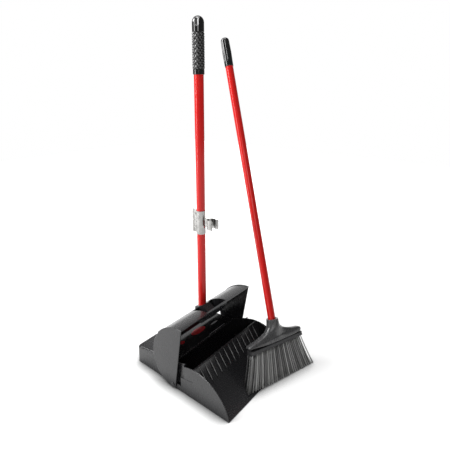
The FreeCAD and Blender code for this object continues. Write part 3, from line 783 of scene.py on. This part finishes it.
@dataclass
class Broom:
    """Enamelled tube, fluted end cap, head cap, block and bristles."""

    tube_low: float = 0.132
    between_ribs: float = 0.0103
    tufts: int = 32
    per_tuft: int = 28
    stations: int = 6
    filament_radius: float = 0.00046
    root_half: float = 0.092
    tip_half: float = 0.1245
    sideways: float = -0.003
    root_spread: tuple[float, float] = (0.0010, 0.0011)
    tip_spread: tuple[float, float] = (0.0016, 0.0014)
    head_sections: tuple[tuple[float, float, float, float], ...] = (
        (0.0, 0.094, 0.0115, 5.0), (0.001, 0.098, 0.0133, 5.0), (0.004, 0.100, 0.0140, 5.0),
        (0.010, 0.100, 0.0138, 5.0), (0.0135, 0.098, 0.0132, 4.6), (0.016, 0.091, 0.0126, 4.0),
        (0.0185, 0.074, 0.0122, 3.4), (0.025, 0.050, 0.0125, 2.9), (0.031, 0.036, 0.0132, 2.7),
        (0.037, 0.028, 0.0145, 2.5), (0.044, 0.0215, 0.0158, 2.3), (0.052, 0.0185, 0.0163, 2.1),
        (0.066, 0.0165, 0.0162, 2.0))
    head_sides: int = 160
    head_rings: int = 90
    shield: float = 0.0060
    groove: float = 0.0065
    socket_deep: float = 0.018
    socket_bore: float = 0.01115
    cap_bore: float = 0.01112
    cap_sides: int = 96
    cap_dome: float = 0.009
    cap_hem: float = 0.0006
    cap_floor: float = 0.0195
    cap_shoulder: float = 0.0119
    cap_profile: tuple[tuple[float, float], ...] = (
        (0.0, 0.0116), (0.0006, 0.0121), (0.001, 0.0122), (0.040, 0.01285))
    flutes: int = 8
    flute_depth: float = 0.0012
    flute_width: float = 0.3
    rows: int = 5
    row_pitch: tuple[float, float] = (0.0052, 0.0060)
    tuft_shove: float = 0.0009
    strays: tuple[float, float] = (0.0005, 0.0004)
    ragged: float = 0.0014
    floor_clear: float = 0.0006
    ramp_clear: float = 0.0012
    moulding: MouldedPlastic = MouldedPlastic(
        "broom_plastic", (0.028, 0.028, 0.029), (0.044, 0.044, 0.045), (0.22, 0.36))
    block: MouldedPlastic = MouldedPlastic(
        "broom_block_plastic", (0.010, 0.010, 0.011), (0.016, 0.016, 0.017), (0.4, 0.55))
    cap: MouldedPlastic = MouldedPlastic(
        "end_cap_plastic", (0.004, 0.004, 0.004), (0.007, 0.007, 0.007), (0.1, 0.18))
    insert: MouldedPlastic = MouldedPlastic(
        "insert_plastic", (0.10, 0.10, 0.10), (0.14, 0.14, 0.14), (0.4, 0.5))
    enamel: Lacquer = Lacquer("broom_enamel", (0.34, 0.007, 0.006), (0.39, 0.010, 0.009))
    filament: Filament = Filament("bristle_filament", (0.010, 0.010, 0.010), (0.62, 0.62, 0.61))

    def build(self) -> None:
        """Dresses the nodes and adds the new pieces."""
        axes = self.find_axes()
        black = self.moulding.build()
        dress("broom_tube", self.enamel.build())
        dress("broom_thread_insert", self.insert.build())
        dress("broom_block", self.block.build())
        self.add_head_cap(axes, black)
        self.add_end_cap(axes, self.cap.build())
        self.add_bristles(axes)

    def find_axes(self) -> Axes:
        """The frame from the tube's and the block's longest directions.

        Returns:
            Axes with the tube's lower end at v = tube_low.
        """
        tube = node_points("broom_tube")
        v = longest_way(tube)
        v = v * np.sign(v[2])
        block = node_points("broom_block")
        u = longest_way(block)
        u = u - v * (u @ v)
        u = u / np.linalg.norm(u) * np.sign(u[0])
        w = np.cross(v, u)
        along = (tube - tube[0]) @ v
        across = tube - along[:, None] * v
        middle = (across.min(axis=0) + across.max(axis=0)) / 2.0
        raw = Axes(middle, u, w, v)
        spots = raw.measure(tube)
        centre = (spots.min(axis=0) + spots.max(axis=0)) / 2.0
        shift = np.array([centre[0], centre[1], spots[:, 2].min() - self.tube_low])
        return Axes(middle + shift[0] * u + shift[1] * w + shift[2] * v, u, w, v)

    def add_end_cap(self, axes: Axes, material: bpy.types.Material) -> None:
        """Push-on cap with long flutes and a domed top.

        The outside is r(v) - depth * fade(v) * groove(angle): r runs through cap_profile and then over a
        dome, cos(t)^0.8 wide and sin(t) high. Fade is 0 at both ends, and groove is exp(-(s / width)^2), s
        being the distance to the nearest flute in halves of their pitch.

        Args:
            axes: the broom's frame.
            material: the finish of the cap.
        """
        spots = axes.measure(node_points("broom_end_cap"))
        low, high = spots[:, 2].min(), spots[:, 2].max()
        cols = self.cap_sides
        shoulder = high - self.cap_dome
        hem = low + np.array([0.0, self.cap_hem])
        levels = np.concatenate([hem, np.linspace(low + 0.001, shoulder, 60)])
        above, wide = np.array(self.cap_profile).T
        radius = np.interp(levels, [*(low + above), shoulder], [*wide, self.cap_shoulder])
        tip = np.linspace(0.0, 0.94, 12)[1:] * math.pi / 2.0
        levels = np.concatenate([levels, shoulder + self.cap_dome * np.sin(tip)])
        radius = np.concatenate([radius, self.cap_shoulder * np.cos(tip) ** 0.8])
        angle = np.arange(cols) * TURN / cols
        near = np.abs((angle * self.flutes / TURN) % 1.0 - 0.5) * 2.0
        groove = np.exp(-((1.0 - near) / self.flute_width) ** 2)
        fade = smooth_step(levels, low + 0.012, low + 0.018) * smooth_step(high - levels, 0.004, 0.012)
        outside = radius[:, None] - self.flute_depth * fade[:, None] * groove[None, :]
        inner_levels = np.array([high - self.cap_floor, low])
        inside = np.full((2, cols), self.cap_bore)
        grid_r = np.concatenate([inside, outside])
        grid_v = np.broadcast_to(np.concatenate([inner_levels, levels])[:, None], grid_r.shape)
        grid = axes.place(grid_r * np.cos(angle), grid_r * np.sin(angle), grid_v)
        points, faces = capped(grid)
        cap = new_piece("broom_end_cap_fluted", points, faces, material)
        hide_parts("broom_end_cap")
        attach(cap, Body.BROOM.value)
        log.info("broom_end_cap_fluted: %d faces", len(cap.data.polygons))

    def add_head_cap(self, axes: Axes, material: bpy.types.Material) -> None:
        """Head moulding: two drooping wings that flow up into the socket, with a shield on its front.

        Each level v is a superellipse |u / a|^n + |w / b|^n = 1, whose half length a, half depth b and
        exponent n follow head_sections. The shield pushes the front out by shield * exp(-((u - c) / s)^2),
        where c and s drift left and widen downward. Towards the ends the lower edge is lifted, which leaves
        a groove above the block: v rises by lift(u) * (1 - v / 12 mm) where that is above 0.

        Args:
            axes: the broom's frame.
            material: the finish of the moulding.
        """
        spots = axes.measure(node_points("broom_head_cap"))
        low, high = spots[:, 2].min(), spots[:, 2].max()
        cols = self.head_sides
        above, long, deep, power = np.array(self.head_sections).T
        knots = low + above
        levels = np.linspace(low, high, self.head_rings)
        half_u = np.interp(levels, knots, long)[:, None]
        half_w = np.interp(levels, knots, deep)[:, None]
        n = np.interp(levels, knots, power)[:, None]
        angle = (np.arange(cols) * TURN / cols)[None, :]
        cosine, sine = np.cos(angle), np.sin(angle)
        reach = (np.abs(cosine) ** n + np.abs(sine) ** n) ** (-1.0 / n)
        u = half_u * reach * cosine
        w = half_w * reach * sine
        v = np.broadcast_to(levels[:, None], u.shape)
        down = (high - v) / (high - low)
        centre = 0.004 - 0.020 * down ** 2
        width = 0.010 + 0.022 * down ** 2
        shield = self.shield * np.exp(-((u - centre) / width) ** 2) * smooth_step(v, low + 0.004, low + 0.014)
        w = w - np.where(w < 0.0, shield * smooth_step(-w, 0.0, 0.012), 0.0)
        left = smooth_step(-u, 0.022, 0.098)
        right = smooth_step(u, 0.06, 0.098)
        lift = (self.groove * left + 0.3 * self.groove * right) * np.clip(1.0 - (v - low) / 0.012, 0.0, 1.0)
        v = v + lift
        u = u + self.sideways * 0.5 * smooth_step(np.abs(u), 0.02, 0.08)
        mouth = np.array([high, high - self.socket_deep])[:, None]
        inner_u = np.broadcast_to(self.socket_bore * cosine, (2, cols))
        inner_w = np.broadcast_to(self.socket_bore * sine, (2, cols))
        inner_v = np.broadcast_to(mouth, (2, cols))
        u, w, v = np.concatenate([u, inner_u]), np.concatenate([w, inner_w]), np.concatenate([v, inner_v])
        grid = axes.place(u, w, v)
        points, faces = capped(grid)
        cap = new_piece("broom_head_moulding", points, faces, material)
        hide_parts("broom_head_cap")
        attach(cap, Body.BROOM.value)
        log.info("broom_head_moulding: %d faces", len(cap.data.polygons))

    def ground(self) -> tuple[np.ndarray, np.ndarray]:
        """Heights of the ramp along Y, from rays sent down on the tray between two ribs.

        Returns:
            The Y positions and the heights, in metres.
        """
        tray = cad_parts["pan_tray"]
        low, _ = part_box("pan_tray")
        spots = np.linspace(low.y - 0.002, low.y + 0.11, 113)
        heights = np.zeros_like(spots)
        for i, y in enumerate(spots):
            start = Vector((self.between_ribs, y, RAY_HEIGHT))
            hit, where, _, _ = tray.ray_cast(start, Vector((0.0, 0.0, -1.0)))
            heights[i] = where.z if hit else 0.0
        return spots, heights

    def filament_paths(self, axes: Axes, row: int, draw: np.random.Generator) -> np.ndarray:
        """Centre lines of one row's filaments.

        A filament leaves the block at a point of its tuft and flares out to its tip: u = u0 + (u1 - u0)
        * (0.8 t + 0.2 t^2), w likewise, and v falls evenly. It ends where it meets the floor or the ramp.

        Args:
            axes: the broom's frame.
            row: number of the row, from 0 at the front.
            draw: the source of random numbers.

        Returns:
            Points of shape (filaments, stations, 3).
        """
        spots = axes.measure(node_points("broom_block"))
        top = spots[:, 2].min() + 0.0015
        count = self.tufts * self.per_tuft
        place = np.repeat(np.linspace(-1.0, 1.0, self.tufts), self.per_tuft)
        turn = draw.uniform(0.0, TURN, count)
        out = np.sqrt(draw.uniform(0.0, 1.0, count))
        side, depth = out * np.cos(turn), out * np.sin(turn)
        shove = np.repeat(draw.normal(0.0, self.tuft_shove, self.tufts), self.per_tuft)
        middle = row - (self.rows - 1) / 2.0
        stagger = (row % 2) * 0.5 * 2.0 / (self.tufts - 1)
        place = place * (1.0 - stagger) + stagger * (row % 4 - 2) * 0.5
        u0 = self.sideways + place * self.root_half + side * self.root_spread[0]
        w0 = middle * self.row_pitch[0] + depth * self.root_spread[1]
        u1 = 2.0 * self.sideways + place * self.tip_half + side * self.tip_spread[0]
        u1 = u1 + shove + draw.normal(0.0, self.strays[0], count)
        w1 = middle * self.row_pitch[1] + depth * self.tip_spread[1] + draw.normal(0.0, self.strays[1], count)
        end_v = draw.uniform(0.0, self.ragged, count)
        t = np.linspace(0.0, 1.0, 80)[None, :]
        flare = 0.8 * t + 0.2 * t * t
        u = u0[:, None] + (u1 - u0)[:, None] * flare
        w = w0[:, None] + (w1 - w0)[:, None] * flare
        v = top + (end_v[:, None] - top) * t
        path = axes.place(u, w, v)
        y_spots, heights = self.ground()
        low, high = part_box("pan_tray")
        ramp = np.interp(path[..., 1], y_spots, heights, left=0.0) + self.ramp_clear
        over_pan = (np.abs(path[..., 0]) < high.x + 0.001) & (path[..., 1] > low.y - 0.001)
        ground = np.where(over_pan, np.maximum(ramp, self.floor_clear), self.floor_clear)
        ground = ground + self.filament_radius
        free = path[..., 2] > ground
        last = np.argmin(free, axis=1)
        last = np.where(free.all(axis=1), path.shape[1] - 1, np.maximum(last - 1, 1))
        keep = np.linspace(0.0, 1.0, self.stations)[None, :] * last[:, None]
        below = np.clip(np.floor(keep).astype(int), 0, path.shape[1] - 2)
        part = (keep - below)[..., None]
        which = np.arange(count)[:, None]
        return path[which, below] * (1.0 - part) + path[which, below + 1] * part

    def add_bristles(self, axes: Axes) -> None:
        """The rows of tufts, each filament a three-sided rod that thins a little towards its tip, and each
        row further back painted darker as shade between the tufts.

        Args:
            axes: the broom's frame.
        """
        material = self.filament.build()
        for row in range(self.rows):
            draw = np.random.default_rng(FIRST_SEED + row)
            paths = self.filament_paths(axes, row, draw)
            count, stations, _ = paths.shape
            angle = np.arange(3) * TURN / 3.0
            spin = draw.uniform(0.0, TURN, count)
            radius = self.filament_radius * np.linspace(1.0, 0.8, stations)
            turn = angle[None, None, :] + spin[:, None, None]
            across = radius[None, :, None] * np.cos(turn)
            depth = radius[None, :, None] * np.sin(turn)
            ring = across[..., None] * axes.u + depth[..., None] * axes.w
            points = (paths[:, :, None, :] + ring)[:, ::-1].reshape(-1, 3)
            one = grid_quads(stations, 3, False)
            start = np.arange(count)[:, None, None] * stations * 3
            quads = (one[None] + start).reshape(-1, 4)
            last = (stations - 1) * 3
            ends = np.array([[0, 2, 1], [last, last + 1, last + 2]])
            caps = (ends[None] + start).reshape(-1, 3)
            name = f"bristle_row_{row + 1}"
            tufts = new_piece(f"{name}_tufts", points, quads.tolist() + caps.tolist(), material)
            shade = tufts.data.attributes.new("shade", "FLOAT", "POINT")
            tuft = np.repeat(draw.beta(0.8, 1.1, self.tufts), self.per_tuft)
            # Random tone per tuft and per filament, times 0.6 per row back: painted shade in the gaps between
            # the tufts.
            tone_and_row_shade = (0.25 + 0.75 * tuft) * draw.uniform(0.5, 1.0, count) * 0.6 ** row
            shade.data.foreach_set("value", np.repeat(tone_and_row_shade, stations * 3).astype(np.float32))
            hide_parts(name)
            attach(tufts, Body.BROOM.value)
            log.info("%s_tufts: %d filaments", name, count)


def main() -> None:
    """Builds the studio and the three sub-assemblies."""
    logging.basicConfig(level=logging.INFO, format="%(name)s %(message)s")
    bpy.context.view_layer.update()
    Studio().build()
    DustPan().build()
    HoodAndHandle().build()
    Broom().build()
    bpy.context.view_layer.update()


if __name__ == "__main__":
    main()
